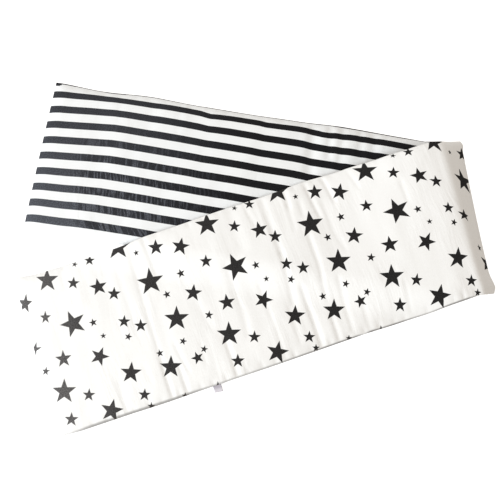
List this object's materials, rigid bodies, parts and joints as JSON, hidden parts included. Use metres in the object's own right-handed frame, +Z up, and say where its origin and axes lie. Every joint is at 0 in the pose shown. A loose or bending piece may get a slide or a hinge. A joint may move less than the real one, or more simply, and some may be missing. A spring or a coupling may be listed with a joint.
{
  "type": "crib bumper",
  "caption": "Long padded crib bumper, star print on one face and stripes on the other, lying folded back on itself in a loose slanted turn.",
  "frame": {"origin": "on the floor under the middle of the whole folded bumper's box", "axes": "+X runs from the open ends to the turn, along the longest extent; +Y goes from the star leg to the striped leg; +Z is up"},
  "size_m": [0.8773, 0.6754, 0.0567],
  "materials": {
    "printed_cotton": "plain woven cotton, matte, charcoal stars on one face and black stripes on the other",
    "ribbon": "narrow woven ribbon, white with a slight sheen"
  },
  "bodies": {
    "root": {"pad": "printed_cotton", "tie": "ribbon"}
  },
  "joints": []
}
